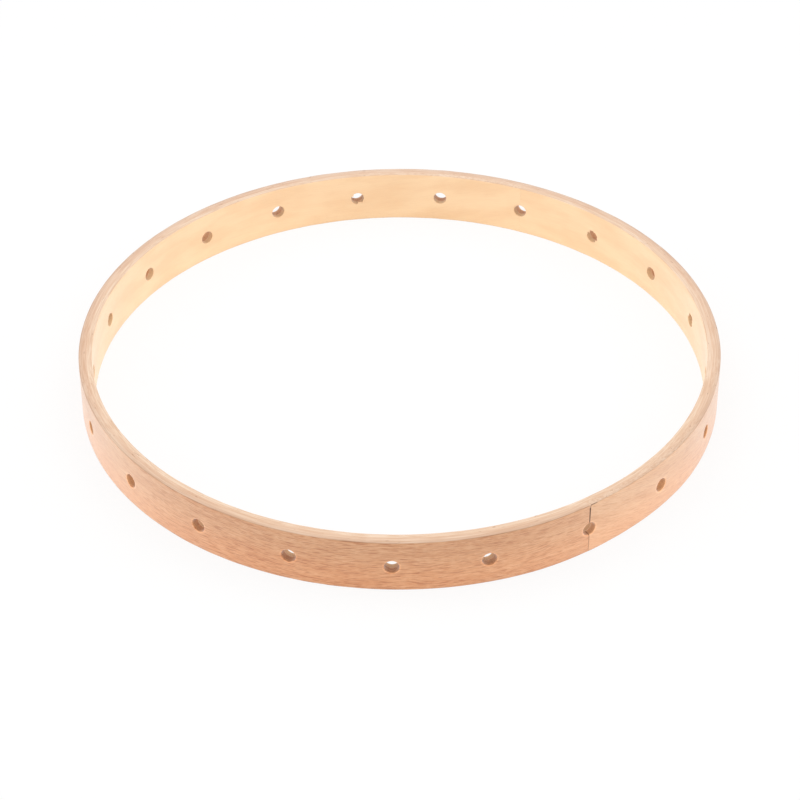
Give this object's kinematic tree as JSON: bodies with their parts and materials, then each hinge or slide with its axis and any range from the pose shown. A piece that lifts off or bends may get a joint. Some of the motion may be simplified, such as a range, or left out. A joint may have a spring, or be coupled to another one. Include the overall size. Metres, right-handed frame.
{
  "type": "circular weaving loom",
  "caption": "Low round bentwood hoop of laminated beech strips, drilled all round with radial holes that hold the warp for weaving in the round.",
  "frame": {"origin": "centre of the hoop, on the plane that its bottom rim rests on", "axes": "+Z is the hoop's axis, up. -Y is the front seen in the picture and +X its right. Angles run from +X towards +Y, and the outer strip's joint is at about -57 degrees."},
  "size_m": [0.3, 0.3, 0.026],
  "materials": {
    "outer_strip_wood": "bare sanded beech, fine dark flecks along the bend",
    "inner_strip_wood": "bare sanded beech, paler",
    "dried_glue": "thin dried wood glue"
  },
  "bodies": {
    "root": {"outer_strip": "outer_strip_wood", "inner_strip": "inner_strip_wood", "glue_film": "dried_glue"}
  },
  "joints": []
}
